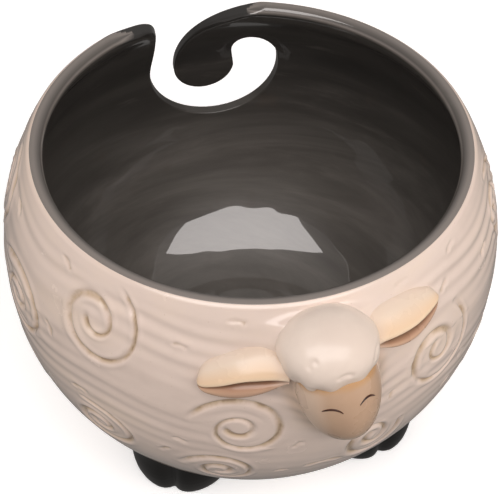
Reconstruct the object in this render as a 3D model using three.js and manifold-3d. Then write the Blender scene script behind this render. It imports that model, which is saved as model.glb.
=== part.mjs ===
// Ceramic yarn bowl in the form of a sheep. Millimetres, +Z up, the sheep looks along -Y.
import * as THREE from "three";
import { mergeVertices } from "three/addons/utils/BufferGeometryUtils.js";
import Module from "manifold-3d";

// bowl body: a sphere above its widest level, a slightly squared dome below it
const BODY_R = 80; // outside radius at the widest level
const BODY_DROP = 78.4; // depth the lower dome would reach if it were not cut flat
const BODY_POWER = 2.15; // superellipse power of the lower dome
const WIDEST_Z = 75.5; // height of the widest level above the table
const BASE_Z = 4; // underside of the bowl, held clear of the table by the hooves
const RIM_Z = 116.2; // top of the rim
const WALL = 4; // wall thickness, glaze included
const LIP_R = 2.8; // radius of the thickened, rounded lip
const LIP_FADE = 7; // height over which the lip thins to the wall
const FLOOR_Z = 9; // flat inside floor
const FLOOR_BLEND = 6; // softness of the turn from wall to floor
const GLAZE = 0.7; // thickness of the dark inside glaze coat
const GAP = 0.3; // clearance between neighbouring pieces
const GLAZE_EDGE = 66; // where the dark glaze stops on the lip, degrees up from level
const AXIS_Y = 7.8; // bowl axis behind the frame origin, so the outline is centred
const TURNS = 52; // facets round the bowl

// yarn slot, drawn on the back wall: s runs to the sheep's left, h is above the widest level
const SLOT_AZ = 6.5; // degrees that the slot sits off the exact back
const SLOT = {
  rimLeft: [-41, 41.4],
  horn: [-27.5, 37.6],
  hornSide: [-20.8, 29],
  sweep: { s: 0, h: 8.6, r: 23 }, // long lower sweep of the slot
  bulb: { s: 14.9, h: 13.3, r: 7.8 }, // round end that the yarn rests in
  hook: { s: -3.3, h: 8.4, r: 10.9 }, // rounded tip of the hook
  shoulder: [-13.6, 29.5],
  rimRight: [19, 41.6],
};

// head
const FACE = { x: 1, y: -81, h: 17, wide: 12.4, deep: 14.5, tall: 19, lean: 8, taper: 0.009, veer: 0.1 };
const CAP = { x: -1.5, y: -78.5, h: 31.5, wide: 14.8, deep: 13.5, tall: 10.5 };
const EYES = [
  { name: "right_eye_line", x: -4.7, h: 20.7, half: 2.7, arch: 1.4, slope: 0.15 },
  { name: "left_eye_line", x: 5.4, h: 21.6, half: 2.7, arch: 1.4, slope: -0.08 },
];
const EYE_R = 0.55; // half width of a painted eye line
const EARS = [
  { name: "right_ear", side: -1, root: [8, 25.6], tip: [27.2, 21.4], half: 7.9 },
  { name: "left_ear", side: 1, root: [8, 31.6], tip: [26.8, 29], half: 7.1 },
];
const EAR_THICK = 3.2; // half thickness of an ear at its middle
const EAR_LIFT = 3.4; // how far an ear's middle stands off the wall

// hooves: az and reach are where each one stands, toe is where its cleft points
const HOOVES = [
  { name: "front_right_hoof", az: -48, reach: 42.7, toe: -29 },
  { name: "front_left_hoof", az: 43.5, reach: 45, toe: 9 },
  { name: "rear_left_hoof", az: 136, reach: 43, toe: 150 },
  { name: "rear_right_hoof", az: -136, reach: 43, toe: -150 },
];
const HOOF_R = 17.9; // widest radius of a hoof
const HOOF_TOP = 30;
const CLEFT = 0.16; // depth of the cleft as a share of the radius

const rad = THREE.MathUtils.degToRad;
const wasm = await Module();
wasm.setup();

function solid(geometry) {
  const g = geometry.clone();
  g.deleteAttribute("normal");
  g.deleteAttribute("uv");
  const m = mergeVertices(g, 1e-4);
  const mesh = new wasm.Mesh({
    numProp: 3,
    vertProperties: new Float32Array(m.attributes.position.array),
    triVerts: new Uint32Array(m.index.array),
  });
  return new wasm.Manifold(mesh);
}

function geometryOf(body) {
  const mesh = body.getMesh();
  const g = new THREE.BufferGeometry();
  g.setAttribute("position", new THREE.BufferAttribute(mesh.vertProperties, 3));
  g.setIndex(new THREE.BufferAttribute(mesh.triVerts, 1));
  return g;
}

// closed skin over a stack of equal rings, with a fan at each end
function ringSolid(rings) {
  const n = rings[0].length;
  const pos = rings.flat().flatMap((p) => [p.x, p.y, p.z]);
  const index = [];
  for (let i = 0; i + 1 < rings.length; i++) {
    for (let j = 0; j < n; j++) {
      const a = i * n + j;
      const b = i * n + ((j + 1) % n);
      index.push(a, b, b + n, a, b + n, a + n);
    }
  }
  for (const [ring, flip] of [[0, true], [rings.length - 1, false]]) {
    const mid = new THREE.Vector3();
    rings[ring].forEach((p) => mid.addScaledVector(p, 1 / n));
    pos.push(mid.x, mid.y, mid.z);
    const c = pos.length / 3 - 1;
    for (let j = 0; j < n; j++) {
      const a = ring * n + j;
      const b = ring * n + ((j + 1) % n);
      index.push(...(flip ? [c, b, a] : [c, a, b]));
    }
  }
  const g = new THREE.BufferGeometry();
  g.setAttribute("position", new THREE.Float32BufferAttribute(pos, 3));
  g.setIndex(index);
  return solid(g);
}

// revolved about the bowl axis; profile points are (radius, height above the widest level)
function revolve(profile) {
  const g = new THREE.LatheGeometry(profile, TURNS);
  return solid(g).rotate([90, 0, 0]).translate([0, 0, WIDEST_Z]);
}

// outside of the bowl: v runs from -90 at the pole of the lower dome to +90 at the top
function outer(v) {
  const a = rad(Math.abs(v));
  if (v >= 0) return new THREE.Vector2(BODY_R * Math.cos(a), BODY_R * Math.sin(a));
  const k = 2 / BODY_POWER;
  return new THREE.Vector2(BODY_R * Math.cos(a) ** k, -BODY_DROP * Math.sin(a) ** k);
}

function offset(v, depth) {
  const p = outer(v);
  const along = outer(v + 0.01).sub(outer(Math.max(v - 0.01, -90))).normalize();
  return p.add(new THREE.Vector2(-along.y, along.x).multiplyScalar(depth));
}

const LIP_H = RIM_Z - WIDEST_Z - LIP_R; // height of the lip's centre
const LIP_V = THREE.MathUtils.radToDeg(Math.asin(LIP_H / (BODY_R - LIP_R)));
const LIP_MID = new THREE.Vector2(
  (BODY_R - LIP_R) * Math.cos(rad(LIP_V)),
  (BODY_R - LIP_R) * Math.sin(rad(LIP_V)),
);

// inside of the bowl, lifted over the flat floor; skin is how far behind the surface to go
function inner(v, skin) {
  const fade = Math.exp(-(((LIP_H - outer(v).y) / LIP_FADE) ** 2));
  const p = offset(v, WALL + (2 * LIP_R - WALL) * fade - skin);
  const floor = FLOOR_Z - WIDEST_Z - skin;
  const rise = p.y - floor;
  p.y = floor + (rise + Math.hypot(rise, FLOOR_BLEND)) / 2 - FLOOR_BLEND ** 2 / 80;
  p.x = v <= -89.9 ? 0 : Math.max(p.x, 0);
  return p;
}

function span(from, to, steps, make) {
  return Array.from({ length: steps + 1 }, (_, i) => make(from + ((to - from) * i) / steps));
}

const lipArc = (from, to, radius, steps) =>
  span(from, to, steps, (d) =>
    new THREE.Vector2(Math.cos(rad(d)), Math.sin(rad(d))).multiplyScalar(radius).add(LIP_MID));

// v at which the lower dome is cut by the flat base
const BASE_V = -THREE.MathUtils.radToDeg(
  Math.asin(((WIDEST_Z - BASE_Z) / BODY_DROP) ** (BODY_POWER / 2)));

function outside(grow) {
  return [
    new THREE.Vector2(0, BASE_Z - WIDEST_Z - grow),
    ...span(BASE_V, 0, 8, (v) => offset(v, -grow)),
    ...span(0, LIP_V, 4, (v) => offset(v, -grow)).slice(1),
  ];
}

// the wall below the lip, inside of it, from lip to floor, standing back by skin
const inside = (skin) => [
  ...span(LIP_V - 3, 8, 2, (v) => inner(v, skin)),
  ...span(0, -90, 10, (v) => inner(v, skin)),
];

const INWARD = LIP_V + 180; // direction that faces the inside of the bowl at the lip

const fullWall = revolve([
  ...outside(0), ...lipArc(LIP_V, INWARD, LIP_R, 6).slice(1), ...inside(0)]);
const clayWall = revolve([
  ...outside(0), ...lipArc(LIP_V, GLAZE_EDGE, LIP_R, 2).slice(1),
  ...lipArc(GLAZE_EDGE, INWARD, LIP_R - GLAZE - GAP, 4), ...inside(GLAZE + GAP)]);
const glazeEdge = GLAZE_EDGE + THREE.MathUtils.radToDeg(GAP / (LIP_R - GLAZE));
const glazeSkin = revolve([
  ...inside(GLAZE).reverse(), ...lipArc(INWARD, glazeEdge, LIP_R - GLAZE, 4),
  ...lipArc(glazeEdge, INWARD, LIP_R, 4), ...inside(0)]);
const wallKeepOut = revolve([
  ...outside(GAP), ...lipArc(LIP_V, 90, LIP_R + GAP, 3).slice(1),
  new THREE.Vector2(0, LIP_MID.y + LIP_R + GAP)]);

// closed outline of the slot, open upwards past the rim
function slotOutline() {
  const { sweep, bulb, hook } = SLOT;
  const top = 60;
  const s = new THREE.Shape();
  s.moveTo(SLOT.rimLeft[0], top);
  s.lineTo(...SLOT.rimLeft);
  s.quadraticCurveTo(-33, 38.6, ...SLOT.horn);
  s.quadraticCurveTo(-21, 36, ...SLOT.hornSide);
  s.quadraticCurveTo(-20.8, 21, sweep.s - sweep.r, 11);
  s.absarc(sweep.s, sweep.h, sweep.r, rad(175), rad(368), false);
  s.absarc(bulb.s, bulb.h, bulb.r, rad(-8), rad(186), false);
  s.absarc(hook.s, hook.h, hook.r, rad(-8), rad(-184), true);
  s.quadraticCurveTo(...SLOT.shoulder, ...SLOT.rimRight);
  s.lineTo(SLOT.rimRight[0], top);
  return s.getPoints(6).slice(0, -1);
}

// prism of the outline, grown sideways by d, right through the back wall
function slotPrism(d) {
  const pts = slotOutline();
  const n = pts.length;
  const grown = pts.map((p, i) => {
    const t = pts[(i + 1) % n].clone().sub(pts[(i + n - 1) % n]).normalize();
    return new THREE.Vector3(p.x + t.y * d, 0, p.y - t.x * d);
  });
  const ring = (y) => grown.map((p) => new THREE.Vector3(p.x, y, p.z));
  return outlinePrism(ring(40), ring(100))
    .rotate([0, 0, -SLOT_AZ])
    .translate([0, 0, WIDEST_Z]);
}

// prism between two matching outlines that may be hollow-sided
function outlinePrism(near, far) {
  const n = near.length;
  const flat = near.map((p) => new THREE.Vector2(p.x, p.z));
  const tris = THREE.ShapeUtils.triangulateShape(flat, []);
  const pos = [...near, ...far].flatMap((p) => [p.x, p.y, p.z]);
  const index = [];
  for (const [a, b, c] of tris) index.push(a, b, c, a + n, c + n, b + n);
  for (let j = 0; j < n; j++) {
    const k = (j + 1) % n;
    index.push(j, j + n, k + n, j, k + n, k);
  }
  const g = new THREE.BufferGeometry();
  g.setAttribute("position", new THREE.Float32BufferAttribute(pos, 3));
  g.setIndex(index);
  return solid(g);
}

// rounded block: rings round a long axis, each shaped by radius(turn, t)
function blob(rings, turns, place) {
  const stack = span(0.5 / rings, 1 - 0.5 / rings, rings - 1, (t) => {
    const ring = [];
    for (let j = 0; j < turns; j++) ring.push(place(Math.PI * (t - 0.5), (2 * Math.PI * j) / turns));
    return ring;
  });
  return ringSolid(stack);
}

// the face: an egg that leans forward at the muzzle and narrows towards it
function face(grow) {
  const c = Math.cos(rad(FACE.lean));
  const s = Math.sin(rad(FACE.lean));
  return blob(12, 20, (lat, turn) => {
    const up = (FACE.tall + grow) * Math.sin(lat);
    const wide = (FACE.wide + grow) * Math.cos(lat) * (1 + FACE.taper * up);
    const x = FACE.x - FACE.veer * up + wide * Math.cos(turn);
    const back = (FACE.deep + grow) * Math.cos(lat) * Math.sin(turn);
    return new THREE.Vector3(x, FACE.y + back * c + up * s, WIDEST_Z + FACE.h + up * c - back * s);
  });
}

// the wool cap: a cushion with a lumpy lower edge
function cap(grow) {
  return blob(10, 28, (lat, turn) => {
    const lump = 1 + 0.035 * Math.cos(lat) * Math.cos(7 * turn) * Math.max(0, -Math.sin(2 * lat));
    const x = (CAP.wide + grow) * Math.cos(lat) * Math.cos(turn) * lump;
    const y = (CAP.deep + grow) * Math.cos(lat) * Math.sin(turn) * lump;
    return new THREE.Vector3(CAP.x + x, CAP.y + y, WIDEST_Z + CAP.h + (CAP.tall + grow) * Math.sin(lat));
  });
}

// point on the upper half of the body: az in degrees, h above the widest level, off the wall
function onBody(az, h, off) {
  const up = Math.asin(h / BODY_R);
  const r = BODY_R + off;
  const level = r * Math.cos(up);
  return new THREE.Vector3(
    level * Math.sin(rad(az)), -level * Math.cos(rad(az)), WIDEST_Z + r * Math.sin(up));
}

// a folded leaf that lies along the wall, with a crease below its middle
function ear({ side, root, tip, half }) {
  const rings = span(0, 1, 10, (t) => {
    const az = root[0] + (tip[0] - root[0]) * t;
    const mid = root[1] + (tip[1] - root[1]) * t;
    const leaf = Math.sin(Math.PI * (0.1 + 0.83 * t)) ** 0.6;
    const ring = [];
    for (let j = 0; j < 20; j++) {
      const a = (-side * 2 * Math.PI * j) / 20;
      const up = Math.sin(a);
      const crease = 1.6 * leaf * Math.exp(-(((up + 0.45) / 0.2) ** 2)) * Math.max(0, Math.cos(a));
      const off = EAR_LIFT * (0.6 + 0.6 * t) + EAR_THICK * leaf * Math.cos(a) - crease;
      ring.push(onBody(side * az, mid + half * leaf * up, off));
    }
    return ring;
  });
  return ringSolid(rings);
}

// a cloven hoof: flat sole, rounded edge, straight ankle, cleft down the front
function hoof({ az, reach, toe }) {
  const cx = reach * Math.sin(rad(az));
  const cy = -reach * Math.cos(rad(az));
  const levels = [[0, 0.82], [0.9, 0.88], [2.6, 0.93], [5.5, 0.98], [10, 1], [HOOF_TOP, 0.96]];
  return ringSolid(levels.map(([z, k]) => {
    const ring = [];
    for (let j = 0; j < 30; j++) {
      const a = (2 * Math.PI * j) / 30;
      const turn = rad(toe) + a;
      const off = Math.atan2(Math.sin(a), Math.cos(a));
      const r = HOOF_R * k * (1 - CLEFT * Math.exp(-((off / 0.2) ** 2)));
      ring.push(new THREE.Vector3(cx + r * Math.sin(turn), cy - r * Math.cos(turn), z));
    }
    return ring;
  }));
}

// forward surface of the face at x and h, found along the sheep's line of sight
function faceY(x, h) {
  let near = FACE.y - 2 * FACE.deep;
  let far = FACE.y;
  const c = Math.cos(rad(FACE.lean));
  const s = Math.sin(rad(FACE.lean));
  for (let i = 0; i < 30; i++) {
    const y = (near + far) / 2;
    const up = (h - FACE.h) * c + (y - FACE.y) * s;
    const back = (y - FACE.y) * c - (h - FACE.h) * s;
    const wide = FACE.wide * (1 + FACE.taper * up);
    const out = ((x - FACE.x + FACE.veer * up) / wide) ** 2 + (back / FACE.deep) ** 2 + (up / FACE.tall) ** 2 > 1;
    if (out) near = y;
    else far = y;
  }
  return far;
}

// a closed eye: an arched line let into the face
function eyeLine({ x, h, half, arch, slope }, r) {
  const rings = span(-1, 1, 8, (k) => {
    const px = x + half * k;
    const ph = h + arch * (1 - k * k) + slope * half * k;
    const thin = r * (1 - 0.45 * k * k);
    const along = new THREE.Vector3(half, 0, -2 * arch * k + slope * half).normalize();
    const up = new THREE.Vector3(-along.z, 0, along.x);
    const ring = [];
    for (let j = 0; j < 8; j++) {
      const a = (2 * Math.PI * j) / 8;
      const p = new THREE.Vector3(px, faceY(px, ph) + 0.1, WIDEST_Z + ph);
      p.addScaledVector(up, thin * Math.sin(a));
      p.y += thin * Math.cos(a);
      ring.push(p);
    }
    return ring;
  });
  return ringSolid(rings);
}

const COLOURS = {
  cream: 0xe9dcca, slate: 0x4a4744, peach: 0xe6c6a0, wool: 0xefe4d6, black: 0x141312, brown: 0x3c2418,
};
const group = new THREE.Group();
function add(name, body, colour) {
  const material = new THREE.MeshStandardMaterial({ color: COLOURS[colour], roughness: 0.3 });
  const mesh = new THREE.Mesh(geometryOf(body.translate([0, AXIS_Y, 0])), material);
  mesh.name = name;
  group.add(mesh);
}

const slot = slotPrism(0);
const slotCoat = fullWall.intersect(slotPrism(GLAZE));
add("bowl_wall", clayWall.subtract(slotPrism(GLAZE + GAP)), "cream");
add("glaze_lining", glazeSkin.add(slotCoat).subtract(slot), "slate");

const headCap = cap(0).subtract(wallKeepOut);
let headFace = face(0).subtract(wallKeepOut).subtract(cap(GAP));
for (const eye of EYES) {
  headFace = headFace.subtract(eyeLine(eye, EYE_R + GAP));
  add(eye.name, eyeLine(eye, EYE_R), "brown");
}
add("face", headFace, "peach");
add("wool_cap", headCap, "wool");
for (const e of EARS) {
  add(e.name, ear(e).subtract(wallKeepOut).subtract(cap(GAP)).subtract(face(GAP)), "peach");
}
for (const h of HOOVES) add(h.name, hoof(h).subtract(wallKeepOut), "black");

export default group;
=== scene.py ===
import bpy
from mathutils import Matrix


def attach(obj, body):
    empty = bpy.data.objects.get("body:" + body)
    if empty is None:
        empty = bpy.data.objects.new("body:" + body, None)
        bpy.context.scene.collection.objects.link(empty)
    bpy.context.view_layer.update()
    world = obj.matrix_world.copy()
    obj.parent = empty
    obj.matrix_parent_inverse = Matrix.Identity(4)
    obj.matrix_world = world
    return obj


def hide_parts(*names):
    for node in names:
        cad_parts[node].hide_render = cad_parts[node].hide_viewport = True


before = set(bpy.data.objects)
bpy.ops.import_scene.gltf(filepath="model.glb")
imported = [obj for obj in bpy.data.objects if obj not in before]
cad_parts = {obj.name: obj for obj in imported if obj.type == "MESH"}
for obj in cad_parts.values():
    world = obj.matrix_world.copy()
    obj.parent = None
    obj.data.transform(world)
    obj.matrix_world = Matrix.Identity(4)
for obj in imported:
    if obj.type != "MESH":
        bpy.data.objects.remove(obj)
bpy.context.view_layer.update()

# Glazed earthenware yarn bowl in the form of a sheep. Sizes are millimetres unless said otherwise,
# az is degrees round the bowl from the sheep's front towards its left, h is height above the widest level.
import contextlib
import math

import bmesh
import bpy
import numpy as np
from mathutils import Matrix, Vector

BODY_R, BODY_DROP, BODY_POWER = 80.0, 78.4, 2.15
WIDEST_Z, BASE_Z, RIM_Z, FLOOR_Z = 75.5, 4.0, 116.2, 9.0
WALL, LIP_R, LIP_FADE, FLOOR_BLEND = 4.0, 2.8, 7.0, 6.0
GLAZE = 0.7
GLAZE_EDGE = 66.0
AXIS_Y = 7.8


def cos_sin(degrees):
    a = math.radians(degrees)
    return math.cos(a), math.sin(a)


def unit(x):
    """x held between 0 and 1."""
    return np.clip(x, 0, 1)


LIP_H = RIM_Z - WIDEST_Z - LIP_R
LIP_V = math.degrees(math.asin(LIP_H / (BODY_R - LIP_R)))
LIP_MID = (BODY_R - LIP_R) * np.array(cos_sin(LIP_V))
BASE_V = -math.degrees(math.asin(((WIDEST_Z - BASE_Z) / BODY_DROP) ** (BODY_POWER / 2)))

ORIGIN = np.array([0, AXIS_Y, WIDEST_Z])  # where the bowl's axis meets its widest level
SEAM = 0.03  # clearance between the clay and the glaze over it
HEAD_SINK = 1.2  # how far the head's pieces go into the wall
CREASE = 42  # edges sharper than this many degrees stay crisp
WELD = 0.00012  # metres within which slivers along the slot are joined

STEP = 0.6  # spacing of the body's mesh


# ---- bowl profile
def outer(v):
    """(radius, h) of the outside at v, from -90 at the foot's pole to 90 at the top."""
    v = np.asarray(v, float)
    a = np.radians(np.abs(v))
    k = 2 / BODY_POWER
    up = v >= 0
    c, s = np.maximum(np.cos(a), 0), np.sin(a)
    return np.stack([np.where(up, BODY_R * c, BODY_R * c**k),
                     np.where(up, BODY_R * s, -BODY_DROP * s**k)], -1)


def outward(v):
    """Unit normal of the outside at v."""
    v = np.asarray(v, float)
    along = outer(v + 0.01) - outer(np.maximum(v - 0.01, -90))
    along /= np.linalg.norm(along, axis=-1, keepdims=True)
    return np.stack([along[..., 1], -along[..., 0]], -1)


def thickness(h):
    """Wall thickness, growing to the lip's."""
    return WALL + (2 * LIP_R - WALL) * np.exp(-(((LIP_H - h) / LIP_FADE) ** 2))


def inner(v, skin):
    """(radius, h) of the inside at v, sunk into the wall by skin."""
    p = outer(v)
    p = p - outward(v) * (thickness(p[..., 1]) - skin)[..., None]
    rise = p[..., 1] - (FLOOR_Z - WIDEST_Z - skin)
    p[..., 1] = (FLOOR_Z - WIDEST_Z - skin + (rise + np.hypot(rise, FLOOR_BLEND)) / 2
                 - FLOOR_BLEND**2 / 80)
    p[..., 0] = np.maximum(p[..., 0], 0)
    return p


def lip_arc(degrees, radius):
    a = np.radians(degrees)
    return LIP_MID + radius * np.stack([np.cos(a), np.sin(a)], -1)


def v_of(h):
    """v at height h on the outside."""
    h = np.asarray(h, float)
    up = np.degrees(np.arcsin(unit(h / BODY_R)))
    down = -np.degrees(np.arcsin(unit(-h / BODY_DROP) ** (BODY_POWER / 2)))
    return np.where(h >= 0, up, down)


# arc length up the outside, measured from the widest level
_v = np.linspace(-89.9, 60, 3000)
_p = outer(_v)
_arc = np.concatenate([[0], np.cumsum(np.linalg.norm(np.diff(_p, axis=0), axis=1))])
_arc -= np.interp(0, _v, _arc)


def arc_of(h):
    return np.interp(v_of(h), _v, _arc)


# ---- yarn slot outline
SLOT_AZ = 6.5
SWEEP, BULB, HOOK = (0, 8.6, 23), (14.9, 13.3, 7.8), (-3.3, 8.4, 10.9)


def quad(a, b, c, n):
    t = np.linspace(0, 1, n, endpoint=False)[:, None]
    a, b, c = map(np.array, (a, b, c))
    return (1 - t) ** 2 * a + 2 * t * (1 - t) * b + t * t * c


def arc(circle, start, end, n):
    a = np.radians(np.linspace(start, end, n, endpoint=False))
    return np.stack([circle[0] + circle[2] * np.cos(a), circle[1] + circle[2] * np.sin(a)], -1)


def bulb_arc(n):
    """The hole at the slot's end: flattened at its upper right, fuller at its upper left."""
    turn = np.radians(np.linspace(-8, 186, n, endpoint=False))
    r = BULB[2] - 0.6 * np.sin(2 * turn) * (turn > 0) + 0.2 * np.maximum(np.sin(turn), 0)
    shift = 0.4 * unit(turn / 0.5)
    return np.stack([BULB[0] - shift + r * np.cos(turn), BULB[1] + r * np.sin(turn)], -1)


def slot_outline(n):
    left, horn, side = (-41, 41.4), (-27.5, 37.6), (-20.8, 29)
    right = (19, 41.6)
    c, s = cos_sin(176)
    hook_end = (HOOK[0] + HOOK[2] * c, HOOK[1] + HOOK[2] * s)
    sweep_start = (SWEEP[0] - SWEEP[2], 11)
    return np.concatenate([
        [(-41, 60)], quad(left, (-33, 38.6), horn, n), quad(horn, (-21, 36), side, n),
        quad(side, (-20.8, 21), sweep_start, n), arc(SWEEP, 175, 368, 4 * n),
        bulb_arc(3 * n), arc(HOOK, -8, -184, 3 * n),
        quad(hook_end, (-13.6, 29.5), right, 2 * n), [right, (19, 60)]])


def soften(loop, rounds, keep):
    """Eases the corners of a closed loop, leaving the points that keep says."""
    for _ in range(rounds):
        mid = (np.roll(loop, 1, 0) + np.roll(loop, -1, 0)) / 2
        loop = np.where(keep[:, None], loop, 0.5 * loop + 0.5 * mid)
    return loop


def resample(loop, step):
    closed = np.vstack([loop, loop[:1]])
    run = np.concatenate([[0], np.cumsum(np.linalg.norm(np.diff(closed, axis=0), axis=1))])
    at = np.arange(0, run[-1] - step / 2, step)
    return np.stack([np.interp(at, run, closed[:, 0]), np.interp(at, run, closed[:, 1])], -1)


outline = resample(slot_outline(12), 0.5)
outline = soften(outline, 3, outline[:, 1] > 45)  # the part over the rim is left


def slot_frame(x, y):
    """(s, forward) of a point, x and y from the bowl's axis."""
    c, s = cos_sin(SLOT_AZ)
    return x * c - y * s, x * s + y * c


# ---- mesh helpers
def around(r, a, h):
    """Points at radius r and azimuth a (radians) round the bowl's axis, at height h."""
    return np.stack([r * np.sin(a), -r * np.cos(a), h], -1)


def azimuth_of(p):
    return np.arctan2(p[:, 0], -p[:, 1])


@contextlib.contextmanager
def editing(o):
    """The object's mesh, open for editing."""
    bm = bmesh.new()
    bm.from_mesh(o.data)
    yield bm
    bm.to_mesh(o.data)
    bm.free()


def put_in_scene(name, data):
    o = bpy.data.objects.new(name, data)
    bpy.context.scene.collection.objects.link(o)
    return o


def new_object(name, verts, faces, smooth=True):
    """Mesh object from millimetre points about the bowl's axis at the widest level."""
    mesh = bpy.data.meshes.new(name)
    pts = np.asarray(verts, float) + ORIGIN
    mesh.from_pydata((pts * 0.001).tolist(), [], faces)
    mesh.validate()
    if smooth:
        mesh.polygons.foreach_set("use_smooth", np.ones(len(mesh.polygons), bool))
    mesh.update()
    return put_in_scene(name, mesh)


def points_of(o):
    co = np.zeros(len(o.data.vertices) * 3)
    o.data.vertices.foreach_get("co", co)
    return co.reshape(-1, 3) * 1000 - ORIGIN


def set_points(o, pts):
    co = (pts + ORIGIN) * 0.001
    o.data.vertices.foreach_set("co", co.ravel())
    o.data.update()


def normals_of(o):
    n = np.zeros(len(o.data.vertices) * 3)
    o.data.vertices.foreach_get("normal", n)
    return n.reshape(-1, 3)


def set_value(o, name, values):
    layer = o.data.attributes.new(name, "FLOAT", "POINT")
    layer.data.foreach_set("value", np.asarray(values, np.float32))


def skin_faces(rows, columns):
    """Faces of a closed skin over rows of points; the two end rows close onto one extra point each."""
    faces = []
    for i in range(rows - 1):
        a = i * columns
        for j in range(columns):
            k = (j + 1) % columns
            faces.append((a + j, a + k, a + columns + k, a + columns + j))
    low, high = rows * columns, rows * columns + 1
    last = (rows - 1) * columns
    for j in range(columns):
        k = (j + 1) % columns
        faces.append((low, k, j))
        faces.append((high, last + j, last + k))
    return faces


def ring_object(name, rings):
    """Closed skin over a stack of equal rings."""
    rings = np.asarray(rings, float)
    rows, columns = rings.shape[:2]
    pts = np.vstack([rings.reshape(-1, 3), rings[0].mean(0), rings[-1].mean(0)])
    return new_object(name, pts, skin_faces(rows, columns))


def revolve(name, profile, azimuths):
    """Closed solid from a profile that starts and ends on the axis."""
    body = profile[1:-1]
    a = np.radians(azimuths)
    rings = around(body[:, 0][:, None], a, np.repeat(body[:, 1][:, None], len(a), 1))
    pts = np.vstack([rings.reshape(-1, 3), [0, 0, profile[0][1]], [0, 0, profile[-1][1]]])
    return new_object(name, pts, skin_faces(len(body), len(a)))


def prism(name, loop):
    """Prism of an outline in the slot's plane, right through the back wall."""
    n = len(loop)
    c, s = cos_sin(SLOT_AZ)
    pts = []
    for y in (40, 100):  # inside and outside the back wall
        pts += [(p[0] * c + y * s, -p[0] * s + y * c, p[1]) for p in loop]
    faces = [tuple(range(n)), tuple(range(2 * n - 1, n - 1, -1))]
    faces += [(j, j + n, (j + 1) % n + n, (j + 1) % n) for j in range(n)]
    o = new_object(name, pts, faces, smooth=False)
    with editing(o) as bm:
        bmesh.ops.recalc_face_normals(bm, faces=bm.faces)
        bmesh.ops.triangulate(bm, faces=[f for f in bm.faces if len(f.verts) > 4])
    return o


def cut(o, tool, how="DIFFERENCE"):
    m = o.modifiers.new("cut", "BOOLEAN")
    m.operation, m.object, m.solver = how, tool, "MANIFOLD"
    dg = bpy.context.evaluated_depsgraph_get()
    mesh = bpy.data.meshes.new_from_object(o.evaluated_get(dg))
    o.modifiers.clear()
    o.data = mesh
    return o


def drop(o):
    bpy.data.objects.remove(o)


def grow(loop, d):
    """The loop moved outwards by d."""
    t = np.roll(loop, -1, 0) - np.roll(loop, 1, 0)
    t /= np.linalg.norm(t, axis=1)[:, None]
    return loop + d * np.stack([t[:, 1], -t[:, 0]], -1)


# ---- carving on the outside
# az, h, radius, start angle, turns and, if not 1, squash: hand-carved curls, wound clockwise inwards
CURLS = [
    (-52.4, 24, 11.6, 72, 1.72),
    (-81, 5.8, 11.2, 150, 1.85, 1.08),
    (-52.4, -21, 8.8, 120, 1.8, 1.1),
    (-18.9, -1.7, 11, 168, 1.95),
    (-23.6, -28.5, 8.6, 170, 1.8),
    (28.7, 6.7, 11.2, 60, 1.86),
    (12, -21.2, 8.2, 20, 1.8, 0.9),
    (68, 23, 10.6, 110, 1.85, 1.05),
    (-106, 23, 10.8, 95, 1.8, 1.05),
    (52, -20, 9, 140, 1.8),
    (78, -8, 10.8, 160, 1.9),
    (102, 20, 11, 70, 1.8),
    (110, -22, 8.8, 130, 1.8),
    (132, 1, 11.2, 165, 1.9),
    (150, -27, 8.4, 60, 1.75),
    (163, -3, 9.8, 120, 1.8),
    (-172, -24, 9.6, 165, 1.9),
    (-160, 2, 10.2, 80, 1.8),
    (-134, 20, 11, 160, 1.85),
    (-138, -20, 9.4, 110, 1.8),
    (-108, -8, 10.6, 150, 1.9),
    (-84, -26, 8.6, 60, 1.8),
]
# az, h, length, tilt: short nicks between the curls
NICKS = [
    (-20.2, 36, 5, -4), (-32.5, 26.9, 4.2, -8), (-65, 35, 5, -30), (-66.7, 9.6, 5.5, -60),
    (-32.3, -11.8, 3.4, -20), (19.9, 37, 4.2, 6), (31.9, 27.6, 4.4, 30), (14.8, -0.1, 3.4, 70),
    (-6.5, -11.7, 3.2, 50), (-9.4, -29.5, 3.4, 8), (37.4, 36.5, 4, 25), (50.3, 22.9, 4, 20),
    (-57.5, -7.5, 6, 12), (0.8, -29, 12, -4), (-90, 31, 5, -30), (64, 4, 4, 40),
    (90, 34, 4.4, 10), (88, 8, 4, -40), (118, 33, 4.6, -6), (119, 4, 4, 60),
    (92, -28, 3.6, 20), (131, -24, 3.6, -30), (146, 22, 4, 40), (166, -17, 3.6, 10),
    (-150, -12, 3.6, -50), (-150, 33, 4.6, 10), (-120, 35, 4.4, -10), (-120, 5, 4, 50),
    (-124, -26, 3.4, 10), (-97, -28, 3.4, -30), (34, -16, 3.6, 20), (-36, -20, 3.2, 40),
]


def curl_path(radius, start, turns, squash=1):
    """A curl in the surface's own plane: a wide outer turn that steps in to a small eye."""
    t = np.linspace(0, 1, 90)
    angle = np.radians(start - 360 * turns * t)
    eye = 0.37 * radius
    step = 0.94 / turns
    r = eye + (radius - eye) / (1 + np.exp((t - step) / 0.055))
    r = r + 0.42 * radius * np.exp(-t / 0.06) * (turns / 1.9) + 0.06 * radius * np.sin(7 * t)
    lift = -0.06 * radius * unit(t / step)
    return np.stack([r * np.cos(angle) * squash, r * np.sin(angle) / squash - lift * 0.5], -1)


def nick_path(length, tilt, bend):
    """A short bowed stroke, tilted by this many degrees."""
    t = np.linspace(-0.5, 0.5, 7)
    c, s = cos_sin(tilt)
    bow = bend * length * (1 - 4 * t * t)
    return np.stack([length * t * c - bow * s, length * t * s + bow * c], -1)


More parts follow.
